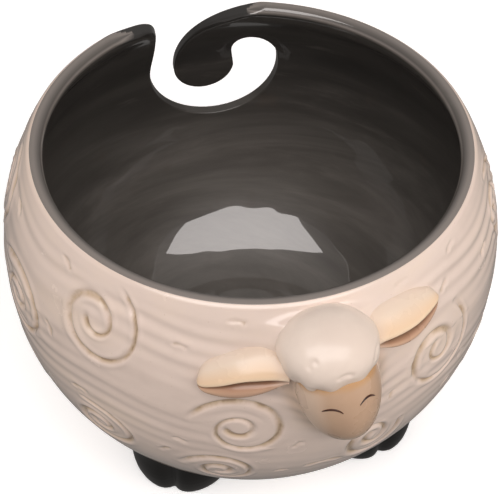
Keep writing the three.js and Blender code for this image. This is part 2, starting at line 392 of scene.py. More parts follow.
def path_distance(e, u, path):
    """Distance of each point to the path, and how far along the path it is, 0 to 1."""
    best = np.full(len(e), 1e9)
    end = np.zeros(len(e))
    n = len(path) - 1
    for i in range(n):
        (ax, ay), (bx, by) = path[i], path[i + 1]
        dx, dy = bx - ax, by - ay
        t = unit(((e - ax) * dx + (u - ay) * dy) / (dx * dx + dy * dy))
        d = (e - ax - t * dx) ** 2 + (u - ay - t * dy) ** 2
        near = d < best
        best = np.where(near, d, best)
        end = np.where(near, (i + t) / n, end)
    return np.sqrt(best), end


def carve(az, h):
    """Displacement and stain of the curls and nicks at each point of the outside."""
    depth, stain = np.zeros(len(az)), np.zeros(len(az))
    up = arc_of(h)
    radius = outer(v_of(h))[:, 0]
    marks = [(a, hh, curl_path(r, *rest), 0.95, 1.15, 1.9 * r) for a, hh, r, *rest in CURLS]
    marks += [(a, hh, nick_path(length, tilt, 0.12), 0.7, 0.5, length) for a, hh, length, tilt in NICKS]
    for a, hh, path, width, deep, reach in marks:
        east = np.radians((az - a + 180) % 360 - 180) * radius
        north = up - arc_of(hh)
        near = (np.abs(east) < reach) & (np.abs(north) < reach)
        d, along = path_distance(east[near], north[near], path)
        taper = unit(np.minimum(along, 1 - along) / 0.04 + 0.35)
        wide = width * (0.85 + 0.25 * np.sin(9 * along + a))
        groove = np.exp(-((d / wide) ** 2)) * taper
        lip = np.exp(-(((d - 2.3 * wide) / (1.2 * wide)) ** 2)) * taper
        depth[near] += -0.75 * deep * groove + 0.2 * deep * lip
        stain[near] = np.maximum(stain[near], np.exp(-((d / (1.25 * wide)) ** 2)) * taper
                                 * (1.0 if reach > 8 else 0.7))
    return depth, stain


def ripples(az, h):
    """Soft level ridges left in the clay."""
    a, u = np.radians(az), arc_of(h)
    wander = 0.5 * np.sin(2 * a + 1) + 0.32 * np.sin(5 * a + 2.1) + 0.16 * np.sin(9 * a + 0.4)
    strength = 0.5 + 0.5 * np.sin(3 * a + u / 7 + 1.3 * np.sin(2 * a))
    fade = np.clip((u + 26) / 44, 0.10, 1) * unit((arc_of(LIP_H) - u) / 5)
    fine = np.sin(2 * np.pi * (u / 5.3 + wander)) - 1
    broad = np.sin(2 * np.pi * (u / 11.7 + 0.6 * wander + 0.2)) - 1
    return fade * (0.19 * (0.05 + strength) * fine + 0.11 * broad)


# ---- head shapes
FACE = dict(x=1, y=-81, h=17, wide=12.4, deep=14.5, tall=19, lean=8, taper=0.009, veer=0.1)
CAP = dict(x=-1.5, y=-78.5, h=31.5, wide=14.8, deep=13.5, tall=10.5)
FC, FS = cos_sin(FACE["lean"])
FACE_MM, CAP_MM = 13.0, 12.5  # millimetres to one unit of face_level and cap_level, near the skin


def face_level(p):
    """0 inside at the middle of the face, 1 on its skin."""
    dy, dh = p[:, 1] - FACE["y"], p[:, 2] - FACE["h"]
    up, back = dh * FC + dy * FS, dy * FC - dh * FS
    wide = FACE["wide"] * (1 + FACE["taper"] * up)
    return np.sqrt(((p[:, 0] - FACE["x"] + FACE["veer"] * up) / wide) ** 2
                   + (back / FACE["deep"]) ** 2 + (up / FACE["tall"]) ** 2)


def cap_level(p):
    return np.sqrt(((p[:, 0] - CAP["x"]) / CAP["wide"]) ** 2 + ((p[:, 1] - CAP["y"]) / CAP["deep"]) ** 2
                   + ((p[:, 2] - CAP["h"]) / CAP["tall"]) ** 2)


def sweep_up(gap, rise, reach):
    """Rise of a surface that sweeps up softly as it nears the head."""
    return rise * np.exp(-np.maximum(gap, 0) / reach)


def head_fillet(p):
    """How far the wall rises to meet the head."""
    gap_face = (face_level(p) - 1) * FACE_MM
    gap_cap = (cap_level(p) - 1) * CAP_MM
    below_lip = unit((LIP_H + 2 - p[:, 2]) / 4)
    return np.hypot(sweep_up(gap_face, 4.2, 3.0), sweep_up(gap_cap, 2.4, 2.8)) * below_lip


# ---- bowl
def columns():
    """Azimuths of the mesh's columns in degrees, closer together round the slot."""
    back = 180 - SLOT_AZ
    near = np.arange(back - 37, back + 37, 0.27)
    rest = np.arange(back + 37, back + 323, 0.45)
    return np.concatenate([near, rest])


def outside_rows():
    arc_low, arc_high = np.interp(BASE_V, _v, _arc), np.interp(LIP_V, _v, _arc)
    at = np.arange(arc_low, arc_high, STEP)
    fine = arc_of(-17.0)
    dense = np.arange(fine, arc_high, STEP * 0.75)
    at = np.concatenate([at[at < fine], dense, [arc_high]])
    return np.interp(at, _arc, _v)


def near_slot(p, reach):
    """Indices of the points near the slot, their distance to its outline, its outward direction there."""
    s, forward = slot_frame(p[:, 0], p[:, 1])
    h = p[:, 2]
    idx = np.nonzero((forward > 30) & (s > -48) & (s < 27) & (h > -18))[0]
    s, h = s[idx], h[idx]
    close = np.full(len(s), 1e9)
    for x, y in outline[::8]:
        close = np.minimum(close, (s - x) ** 2 + (h - y) ** 2)
    some = close < (reach + 3) ** 2
    idx, s, h = idx[some], s[some], h[some]
    t = np.roll(outline, -1, 0) - np.roll(outline, 1, 0)
    t /= np.linalg.norm(t, axis=1)[:, None]
    t = np.stack([t[:, 1], -t[:, 0]], -1)
    best, away = np.full(len(s), 1e9), np.zeros((len(s), 2))
    for (ax, ay), (bx, by), ta, tb in zip(outline, np.roll(outline, -1, 0), t, np.roll(t, -1, 0)):
        dx, dy = bx - ax, by - ay
        k = unit(((s - ax) * dx + (h - ay) * dy) / (dx * dx + dy * dy))
        d = (s - ax - k * dx) ** 2 + (h - ay - k * dy) ** 2
        closer = d < best
        best = np.where(closer, d, best)
        away = np.where(closer[:, None], ta + k[:, None] * (tb - ta), away)
    d = np.sqrt(best)
    keep = d < reach
    away = away[keep] / np.linalg.norm(away[keep], axis=1)[:, None]
    return idx[keep], d[keep], away


def slot_fade(p, start, span):
    """0 at the slot's edge, 1 further away than start + span."""
    fade = np.ones(len(p))
    idx, d, _ = near_slot(p, start + span)
    fade[idx] = unit((d - start) / span)
    return fade


def drop_doubled(bm):
    """Takes out the pairs of faces that a weld lays back to back."""
    same = {}
    for f in bm.faces:
        same.setdefault(frozenset(f.verts), []).append(f)
    doubled = [f for group in same.values() if len(group) > 1 for f in group]
    bmesh.ops.delete(bm, geom=doubled, context="FACES")


def refine_slot(o, longest):
    """Joins the slivers that cutting leaves along the slot and splits the long edges beside it."""
    idx, _, _ = near_slot(points_of(o), 0.3)
    with editing(o) as bm:
        bm.verts.ensure_lookup_table()
        bmesh.ops.remove_doubles(bm, verts=[bm.verts[i] for i in idx], dist=WELD)
        drop_doubled(bm)
        for _ in range(3):
            idx, _, _ = near_slot(np.array([v.co[:] for v in bm.verts]) * 1000 - ORIGIN, 1.7)
            bm.verts.ensure_lookup_table()
            near = {bm.verts[i] for i in idx}
            bmesh.ops.triangulate(bm, faces=[f for f in bm.faces if all(v in near for v in f.verts)])
            long = [e for e in bm.edges if e.verts[0] in near and e.verts[1] in near
                    and e.calc_length() > longest * 0.001]
            if not long:
                break
            bmesh.ops.subdivide_edges(bm, edges=long, cuts=1)
        drop_doubled(bm)


def round_slot(o, outside_radius, reach):
    """Rounds the wall's edges along the slot. Gives the normals there, zero elsewhere."""
    pts = points_of(o)
    normals = np.zeros_like(pts)
    idx, d, away = near_slot(pts, reach)
    p = pts[idx]
    r = np.hypot(p[:, 0], p[:, 1])
    q = np.stack([r, p[:, 2]], -1)
    mid = q - LIP_MID
    c, s = cos_sin(LIP_V)
    on_lip = mid @ np.array([-s, c]) > 0
    rim = np.maximum(np.linalg.norm(mid, axis=1), 1e-6)
    v = v_of(p[:, 2])
    upper = p[:, 2] >= 0
    n_out = np.where(upper[:, None], q / np.linalg.norm(q, axis=1)[:, None], outward(v))
    level = np.where(upper, BODY_R - np.linalg.norm(q, axis=1), (outer(v)[:, 0] - r) * n_out[:, 0])
    thick = thickness(p[:, 2])
    outside = level < thick / 2
    n = np.where(outside[:, None], n_out, -n_out)
    deep = np.where(outside, level, thick - level)
    n = np.where(on_lip[:, None], mid / rim[:, None], n)
    deep = np.where(on_lip, LIP_R - rim, deep)
    side = np.where(on_lip, unit(0.5 + mid[:, 0] / (2 * LIP_R)), outside)
    skin = around(n[:, 0], azimuth_of(p), n[:, 1])
    c, s = cos_sin(SLOT_AZ)
    away = np.stack([away[:, 0] * c, -away[:, 0] * s, away[:, 1]], -1)
    facing = -np.sum(skin * away, axis=1)
    # crisp below the opening, softly rounded over the hook and the horn
    inside_radius = 0.6 + 1.2 * unit((p[:, 2] - 22) / 9)
    bend = inside_radius + (outside_radius - inside_radius) * side
    bend = np.maximum(bend * unit(1 - facing), 1e-3)
    on_skin = (deep < 0.3) & (d >= 0.03)
    on_band = ~on_skin & (d < 0.1)
    part = np.where(on_skin, unit(d / bend), unit(np.maximum(deep, 0) / bend))
    angle = np.radians(np.where(on_skin, 45 * (1 - part), 45 * (1 + part)))
    sink = bend * (1 - np.cos(angle)) - np.where(on_skin, 0, np.clip(deep, 0, bend))
    back = bend * (1 - np.sin(angle)) - np.where(on_skin, np.minimum(d, bend), 0)
    use = on_skin | on_band
    pts[idx[use]] += (back[:, None] * away - sink[:, None] * skin)[use]
    turned_normal = np.cos(angle)[:, None] * skin - np.sin(angle)[:, None] * away
    turned_normal /= np.linalg.norm(turned_normal, axis=1)[:, None]
    normals[idx[use]] = turned_normal[use]
    set_points(o, pts)
    return normals


def shade_by_angle(o, degrees):
    """Smooth shading with the edges sharper than this left crisp."""
    with editing(o) as bm:
        for f in bm.faces:
            f.smooth = True
        for e in bm.edges:
            e.smooth = len(e.link_faces) != 2 or e.calc_face_angle(0) < math.radians(degrees)


FOOT = outer(BASE_V)
az_columns = columns()


def clay_profile():
    foot = np.array([[0, 0.8], [10, 0.8], [24, 0.8], [36, 0.75], [39, 0.3], [40.5, 0.02], [43, 0],
                     [FOOT[0] - 3, 0], [FOOT[0] - 1.6, 0.05]])
    foot[:, 1] += FOOT[1]
    out = outer(outside_rows())
    out[0] += (-0.25, 0.35)
    ramp = np.stack([lip_arc(GLAZE_EDGE + 3, LIP_R - 0.35), lip_arc(GLAZE_EDGE + 7, LIP_R - GLAZE - SEAM)])
    return np.concatenate([
        foot, out, lip_arc(np.linspace(LIP_V, GLAZE_EDGE, 8)[1:], LIP_R), ramp,
        lip_arc(np.linspace(GLAZE_EDGE + 10, LIP_V + 180, 9), LIP_R - GLAZE - SEAM),
        inner(np.linspace(LIP_V - 3, 8, 6), GLAZE + SEAM), inner(np.linspace(0, -90, 26), GLAZE + SEAM)])


def glaze_profile():
    n = 110
    seen = inner(np.concatenate([np.linspace(LIP_V - 1.0, 2, n // 3), np.linspace(0, -90, n)]), 0)
    hidden = inner(np.concatenate([np.linspace(-90, 0, 26), np.linspace(8, LIP_V - 3, 6)]), GLAZE)
    ramp = np.stack([lip_arc(GLAZE_EDGE + 7, LIP_R - GLAZE), lip_arc(GLAZE_EDGE + 3, LIP_R - 0.32)])
    return np.concatenate([
        hidden, lip_arc(np.linspace(LIP_V + 180, GLAZE_EDGE + 10, 9), LIP_R - GLAZE), ramp,
        lip_arc(np.linspace(GLAZE_EDGE, GLAZE_EDGE + 12, 6), LIP_R),
        lip_arc(np.linspace(GLAZE_EDGE + 16, LIP_V + 180, 22), LIP_R), seen])


bowl = revolve("bowl_body", clay_profile(), az_columns)
tool = prism("slot_tool", grow(outline, GLAZE + SEAM))
cut(bowl, tool)
drop(tool)

refine_slot(bowl, 0.55)
p = points_of(bowl)
radius = np.hypot(p[:, 0], p[:, 1])
az = np.degrees(azimuth_of(p))
v = v_of(p[:, 2])
skin = outer(v)
below = np.abs(skin[:, 0] - radius)
top = p[:, 2] > LIP_MID[1] + LIP_R * cos_sin(LIP_V)[1] + 0.02
weight = unit(1 - below / 0.6) * (p[:, 2] > FOOT[1] + 0.5) * ~top
weight *= unit((LIP_H + 1.0 - p[:, 2]) / 3.0)
carving, stain = carve(az, p[:, 2])
away = unit((p[:, 2] - FOOT[1] - 2) / 8)
covered = np.exp(-np.maximum(np.minimum(face_level(p), cap_level(p)) - 1, 0) * FACE_MM / 1.5)
rise = carving * (1 - covered) + ripples(az, p[:, 2])
direction = outward(v)
move = weight * rise * away * slot_fade(p, 0.5, 2.5)
front = weight * head_fillet(p)
limit = np.where(np.abs(p[:, 2]) < 12, -0.02, 0.2)
move = np.minimum(move, limit) + front
a = np.radians(az)
p[:, 0] += move * direction[:, 0] * np.sin(a)
p[:, 1] -= move * direction[:, 0] * np.cos(a)
p[:, 2] += move * direction[:, 1]
set_points(bowl, p)
set_value(bowl, "stain", stain * weight)
reach = np.maximum(face_level(p) - 1, 0) * FACE_MM
blush = np.exp(-((reach / 4.5) ** 2)) * unit((28 - p[:, 2]) / 9)
set_value(bowl, "blush", blush * (radius > 60))
shade_by_angle(bowl, CREASE)
bowl.data.normals_split_custom_set_from_vertices(round_slot(bowl, 0.7, 1.4).tolist())

# inside glaze: the skin of the inside and lip, with the coat on the slot's cut edges
lining = revolve("inside_glaze", glaze_profile(), az_columns)
wide = prism("wide_tool", grow(outline, GLAZE))
whole_profile = np.concatenate([
    [[0, FOOT[1]], [FOOT[0] - 1, FOOT[1]]], outer(np.linspace(BASE_V, LIP_V, 240)),
    lip_arc(np.linspace(LIP_V, LIP_V + 180, 40)[1:-1], LIP_R),
    inner(np.concatenate([np.linspace(LIP_V, -40, 150), np.linspace(-42, -90, 12)]), 0)])
coat = revolve("coat", whole_profile, az_columns)
cut(coat, wide, "INTERSECT")
cut(lining, coat, "UNION")
drop(wide)
drop(coat)
tool = prism("slot_tool", outline)
cut(lining, tool)
drop(tool)
refine_slot(lining, 0.45)
p = points_of(lining)
az = np.degrees(azimuth_of(p))
a = np.radians(az)
radius = np.hypot(p[:, 0], p[:, 1])
# the thrown inside isn't perfectly even
swell = (0.07 * np.sin(p[:, 2] / 2.9 + 0.8 * np.sin(a) + 0.5 * np.sin(3 * a))
         + 0.10 * np.sin(p[:, 2] / 6.1 + 2 * a) + 0.09 * np.sin(p[:, 2] / 9.0 - 5 * a + 1.0)
         + 0.03 * np.sin(p[:, 2] / 1.4 + 3 * np.sin(7 * a)) * np.sin(11 * a + 1.5 * np.sin(p[:, 2] / 4)))
inside_wall = unit((outer(v_of(p[:, 2]))[:, 0] - radius - 2.5) / 1.0)
inside_wall *= unit((30 - p[:, 2]) / 8)
inside_wall *= unit(radius / 12)
inside_wall *= slot_fade(p, 0.9, 3)
p[:, 0] += swell * inside_wall * np.sin(a)
p[:, 1] -= swell * inside_wall * np.cos(a)
# how far over the lip: 0 at its inner side, 1 at the glaze's outer edge
over = np.degrees(np.arctan2(p[:, 2] - LIP_MID[1], radius - LIP_MID[0]))
on_rim = (np.hypot(radius - LIP_MID[0], p[:, 2] - LIP_MID[1]) < LIP_R + 0.3) & (over > 40)
rim_part = unit((195 - over) / (195 - GLAZE_EDGE)) * on_rim
set_points(lining, p)
set_value(lining, "rim", rim_part)
shade_by_angle(lining, CREASE)
lining.data.normals_split_custom_set_from_vertices(round_slot(lining, 0.7, 2.4).tolist())


# ---- head
def tuck(pts, sink):
    """Moves the points that lie deeper than this in the wall out to that depth."""
    r = np.hypot(pts[:, 0], pts[:, 1])
    v = v_of(pts[:, 2])
    q = np.stack([r, pts[:, 2]], -1)
    upper = pts[:, 2] >= 0
    level = np.where(upper, np.linalg.norm(q, axis=1), 0)
    want = BODY_R - sink
    k = np.where(upper & (level < want), want / np.maximum(level, 1), 1)
    low = ~upper & (r < outer(v)[:, 0] - sink)
    kr = np.where(low, (outer(v)[:, 0] - sink) / np.maximum(r, 1), k)
    out = pts.copy()
    out[:, 0] *= kr
    out[:, 1] *= kr
    out[:, 2] *= k
    return out


def blob(name, rows, cols, place):
    lat = (np.arange(rows) + 0.5) / rows * math.pi - math.pi / 2
    turn = 2 * math.pi * np.arange(cols) / cols
    la, tu = np.meshgrid(lat, turn, indexing="ij")
    return ring_object(name, place(la, tu))


def face_place(la, tu):
    low = unit(-la / 1.2)
    up = FACE["tall"] * np.sin(la) * (1 - 0.11 * low)
    full = np.cos(la) ** (1 - 0.42 * low)
    wide = FACE["wide"] * full * (1 + 0.5 * FACE["taper"] * up)
    x = FACE["x"] - FACE["veer"] * up + wide * np.cos(tu)
    back = 0.995 * FACE["deep"] * np.cos(la) ** (1 - 0.12 * low) * np.sin(tu)
    return np.stack([x, FACE["y"] + back * FC + up * FS, FACE["h"] + up * FC - back * FS], -1)


def face_front(x, h):
    """Forward surface of the face at x and h."""
    near, far = np.full(np.shape(x), FACE["y"] - 30.0), np.full(np.shape(x), float(FACE["y"]))
    for _ in range(40):
        y = (near + far) / 2
        out = face_level(np.stack([x, y, h], -1)) > 1
        near, far = np.where(out, y, near), np.where(out, far, y)
    return far


face = blob("face_clay", 60, 96, face_place)
p = points_of(face)
# brow, cheeks and a narrow, softly flattened muzzle
brow = np.exp(-(((p[:, 2] - 24.5) / 2.6) ** 2)) * unit(-(p[:, 1] + 82) / 8)
p[:, 1] -= 0.2 * brow * np.cos((p[:, 0] - FACE["x"]) / 5.2)
muzzle = np.exp(-(((p[:, 2] - 6) / 5.5) ** 2) - ((p[:, 0] - 2.2) / 6.5) ** 2) * (p[:, 1] < -84)
p[:, 1] -= 0.3 * muzzle
p = tuck(p, HEAD_SINK)
set_points(face, p)
# painted shadow of the cap on the top of the face: strongest at the cap, gone about 2 mm from it
cover = unit((cap_level(p) - 1) * 12 / 2.2)
set_value(face, "cap_shadow", 1 - cover)
# the peach is airbrushed: it fades into the body's glaze at the wall, under the chin and on one cheek
facing = normals_of(face)
fade = unit(1 - (np.hypot(p[:, 0], p[:, 1]) - 83.5) / 6.5) * unit((30 - p[:, 2]) / 10)
fade = np.maximum(fade, unit((10.0 - p[:, 2]) / 5.5))
fade = np.maximum(fade, unit((-facing[:, 0] - 0.50) / 0.42))
set_value(face, "to_body", fade)


def cap_place(la, tu):
    cl, sl = np.cos(la), np.sin(la)
    x, y, z = CAP["wide"] * cl * np.cos(tu), CAP["deep"] * cl * np.sin(tu), CAP["tall"] * sl
    # tufts along the lower edge
    low = np.exp(-(((la + 0.55) / 0.42) ** 2))
    wave = np.cos(tu * 11 + 0.7 * np.sin(3 * tu)) * 0.5 + 0.5
    k = 1 + 0.055 * low * wave - 0.02 * low
    lumps = 0.012 * np.sin(3 * tu + 1.0) * np.cos(2 * la + 0.6) + 0.01 * np.sin(5 * tu + 3 * la)
    bulge = 1 + cl**2 * lumps - 0.012
    z = z - 1.1 * np.exp(-(((la + 0.9) / 0.5) ** 2)) * wave
    return np.stack([CAP["x"] + x * k * bulge, CAP["y"] + y * k * bulge, CAP["h"] + z * bulge], -1)


cap = blob("wool_cap_clay", 90, 180, cap_place)
p = points_of(cap)
normals = normals_of(cap)
# short curved nicks in the wool; x, h, length, tilt
dent = np.zeros(len(p))
near = p[:, 1] < CAP["y"] + 2
for x, h, length, tilt in [(-1.0, 33.0, 3.6, 5), (-9.4, 27.2, 3.0, -25), (4.6, 26.6, 2.6, 12),
                           (9.6, 33.5, 2.2, 60), (-9.5, 36.5, 2.4, 40)]:
    d, _ = path_distance(p[near, 0] - x, p[near, 2] - h, nick_path(length, tilt, 0.16))
    groove = np.exp(-((d / 0.55) ** 2)) - 0.2 * np.exp(-(((d - 1.3) / 0.8) ** 2))
    dent[near] += -0.3 * groove
p = p + normals * dent[:, None]
p = tuck(p, HEAD_SINK)
set_points(cap, p)
# the cap is painted darker towards its lower edge, where it curls under: painted shade
set_value(cap, "low_edge_shade", unit((28.0 - p[:, 2]) / 5))


def eye(name, x, h, half, arch, slope, r):
    k = np.linspace(-1, 1, 33)
    px, ph = x + half * k, h + arch * (1 - k * k) + slope * half * k
    py = face_front(px, ph)
    thin = r * (1 - 0.8 * np.abs(k) ** 2.2) + 0.04
    rings = []
    turn = 2 * math.pi * np.arange(16) / 16
    for i in range(len(k)):
        along = np.array([half, 0, -2 * arch * k[i] + slope * half])
        along /= np.linalg.norm(along)
        e = 0.05
        nx = np.array([face_front(np.array([px[i] + e]), np.array([ph[i]]))[0] - py[i],
                       face_front(np.array([px[i]]), np.array([ph[i] + e]))[0] - py[i]]) / e
        normal = np.array([nx[0], -1, nx[1]])
        normal /= np.linalg.norm(normal)
        across = np.cross(along, normal)
        rings.append([np.array([px[i], py[i], ph[i]]) + thin[i] * np.cos(t) * across
                      + (0.22 * np.sin(t) + 0.02) * normal for t in turn])
    return ring_object(name, rings)


right_eye = eye("right_eye_paint", -4.7, 20.7, 2.6, 1.4, 0.15, 0.36)
left_eye = eye("left_eye_paint", 5.4, 22.5, 2.6, 1.4, -0.08, 0.36)


# ---- ears
def on_body(az, h, off):
    """Point off the wall at az and h."""
    r = BODY_R + off
    up = np.arcsin(np.clip(h / BODY_R, -1, 1))
    return around(r * np.cos(up), np.radians(az), r * np.sin(up))


def through(t, knots):
    """Smooth curve through evenly spaced knots."""
    k = np.asarray(knots, float)
    n = len(k) - 1
    x = unit(t) * n
    i = np.minimum(x.astype(int), n - 1)
    f = x - i
    ext = np.concatenate([[2 * k[0] - k[1]], k, [2 * k[-1] - k[-2]]])
    p0, p1, p2, p3 = ext[i], ext[i + 1], ext[i + 2], ext[i + 3]
    return 0.5 * (2 * p1 + (p2 - p0) * f + (2 * p0 - 5 * p1 + 4 * p2 - p3) * f**2
                  + (3 * p1 - p0 - 3 * p2 + p3) * f**3)


# knots run from the root to the tip: top edge, folded edge and lower lip
EARS = {
    "right": dict(az=(-9.5, -28.2), top=(29.4, 29.8, 28.6, 26.2, 22.4), fold=(22.2, 22.3, 21.6, 19.2, 16.8),
                  lip=(19.8, 16.2, 14.2, 13.9, 14.8)),
    "left": dict(az=(8.8, 28.2), top=(34.2, 34.6, 34.4, 33.4, 31.0), fold=(27.0, 26.6, 26.7, 27.4, 28.2),
                 lip=(24.8, 21.8, 21.0, 22.6, 26.0)),
}


def ear(name, az, top, fold, lip):
    rows, t = 56, np.linspace(0, 1, 56)
    # the tip closes round a blunt end
    close = np.sqrt(np.clip(1 - unit((t - 0.84) / 0.16) ** 3.2, 0.0, 1))
    close = np.maximum(close, 0.10)
    a = az[0] + (az[1] - az[0]) * t
    te, fe, le = through(t, top), through(t, fold), through(t, lip)
    mid = fe + 0.25 * (te - fe)
    te, fe, le = (mid + (e - mid) * close for e in (te, fe, le))
    # thicker towards the middle, thin at the tip
    full = (0.55 + 0.45 * np.sin(np.pi * unit(t * 0.9 + 0.12))) * np.sqrt(close)
    full = full + 0.55 * np.exp(-t / 0.14)
    gap = 1.5 * np.sin(np.pi * t ** 0.8) ** 1.4
    rings, zone = [], []
    for i in range(rows):
        T, F, L, k = te[i], fe[i], le[i], full[i]
        # T, F and L are the heights of the top edge, the fold and the lower lip. Each point is
        # (height, off the wall, zone): 0 back, 0.3 outside of the flap, 0.6 fold, 1 inside of the lip
        D, E, g = T - F, F - L, gap[i]
        section = [(T + 0.6, -1.4, 0.0), (T + 0.1, 0.2, 0.05), (T - 0.18 * D, 1.9 * k, 0.1),
                   (T - 0.4 * D, 3.4 * k, 0.2), (T - 0.65 * D, 4.6 * k, 0.3), (T - 0.86 * D, 5.3 * k, 0.36),
                   (F + 0.25, 5.5 * k, 0.42), (F - 0.35, 5.1 * k, 0.5), (F - 0.25, 4.2 * k, 0.62),
                   (F + 0.35, 3.0 * k, 0.8), (F + 0.2, 2.0 * k, 0.85), (F - 0.5 - 0.5 * g, 1.9 * k, 0.85),
                   (F - 0.75 - 0.9 * g, 3.0 * k, 0.86), (F - 0.16 * E - 0.4 - g, 4.1 * k, 0.94),
                   (F - 0.45 * E - 0.7 * g, 4.6 * k, 1.0),
                   (F - 0.72 * E - 0.3 * g, 4.2 * k, 1.0), (F - 0.92 * E, 3.1 * k, 0.97),
                   (L - 0.2, 1.6 * k, 0.93), (L, 0.2, 0.9), (L + 0.8, -1.4, 0.5)]
        section = np.array(section)
        # ease the section into a smooth loop
        fine = np.linspace(0, len(section), 73)[:-1]
        idx = fine.astype(int)
        f = fine - idx
        n = len(section)
        p0, p1, p2, p3 = (section[(idx + j) % n] for j in (-1, 0, 1, 2))
        f = f[:, None]
        loop = (p0 * (1 - f) ** 3 + p1 * (3 * f**3 - 6 * f**2 + 4)
                + p2 * (-3 * f**3 + 3 * f**2 + 3 * f + 1) + p3 * f**3) / 6
        rings.append(on_body(np.full(len(loop), a[i]), loop[:, 0], loop[:, 1]))
        zone.append(loop[:, 2])
    o = ring_object(name, rings if az[1] < az[0] else [r[::-1] for r in rings])
    zone = [z if az[1] < az[0] else z[::-1] for z in zone]
    values = np.concatenate(zone + [[0.3, 0.3]])
    set_value(o, "zone", values)
    length = np.concatenate([np.repeat(t, len(zone[0])), [0, 1]])
    set_value(o, "along", length)
    return o


right_ear = ear("right_ear_clay", **EARS["right"])
left_ear = ear("left_ear_clay", **EARS["left"])


# ---- hooves
# az, distance from the axis, and the azimuth that the cleft points to
HOOVES = {
    "front_right": (-48, 42.7, -29), "front_left": (43.5, 45, 9),
    "rear_left": (136, 43, 150), "rear_right": (-136, 43, -150),
}
HOOF_R = 17.9


def hoof(name, az, reach, toe):
    c, s = cos_sin(az)
    cx, cy = reach * s, -reach * c
    # height above the table and width, from the sole up to the ankle
    levels = np.array([(0, 0.30), (0, 0.55), (0, 0.80), (0.18, 0.845), (0.6, 0.875), (1.3, 0.905),
                       (2.4, 0.935), (4, 0.965), (6, 0.987), (8, 1), (10, 1), (12, 0.992), (14.5, 0.975),
                       (17.5, 0.955), (21, 0.945), (25, 0.94), (29, 0.94)])
    z, k = (np.interp(np.linspace(0, 16, 49), np.arange(17), column) for column in levels.T)
    a = 2 * math.pi * np.arange(120) / 120
    off = np.arctan2(np.sin(a), np.cos(a))
    rings = []
    for zi, ki in zip(z, k):
        deep = 0.17 * math.exp(-((zi - 6) / 16) ** 2) * min(1, ki / 0.8) ** 2
        cleft = deep * (0.55 * np.exp(-np.abs(off / 0.10) ** 1.6) + 0.45 * np.exp(-((off / 0.24) ** 2)))
        toes = 0.012 * np.cos(2 * off) * np.exp(-((off / 1.2) ** 2))
        r = HOOF_R * ki * (1 - cleft + toes)
        turn = math.radians(toe) + a
        rings.append(np.stack([cx + r * np.sin(turn), cy - r * np.cos(turn),
                               np.full(len(a), zi - WIDEST_Z)], -1))
    o = ring_object(name, rings)
    p = points_of(o)
    # the ankle ends just inside the bowl's wall
    r = np.hypot(p[:, 0], p[:, 1])
    h = p[:, 2]
    want = np.interp(r, outer(_v[_v <= 0])[:, 0], outer(_v[_v <= 0])[:, 1])
    ceiling = np.maximum(want + 0.9, BASE_Z - WIDEST_Z + 0.9)
    p[:, 2] = np.where(h > ceiling, ceiling, h)
    set_points(o, p)
    set_value(o, "height", p[:, 2] + WIDEST_Z)
    return o


hooves = {k: hoof(k + "_hoof_clay", *v) for k, v in HOOVES.items()}


# ---- materials
def srgb(r, g, b):
    def lin(c):
        c /= 255
        return c / 12.92 if c <= 0.04045 else ((c + 0.055) / 1.055) ** 2.4
    return (lin(r), lin(g), lin(b), 1)


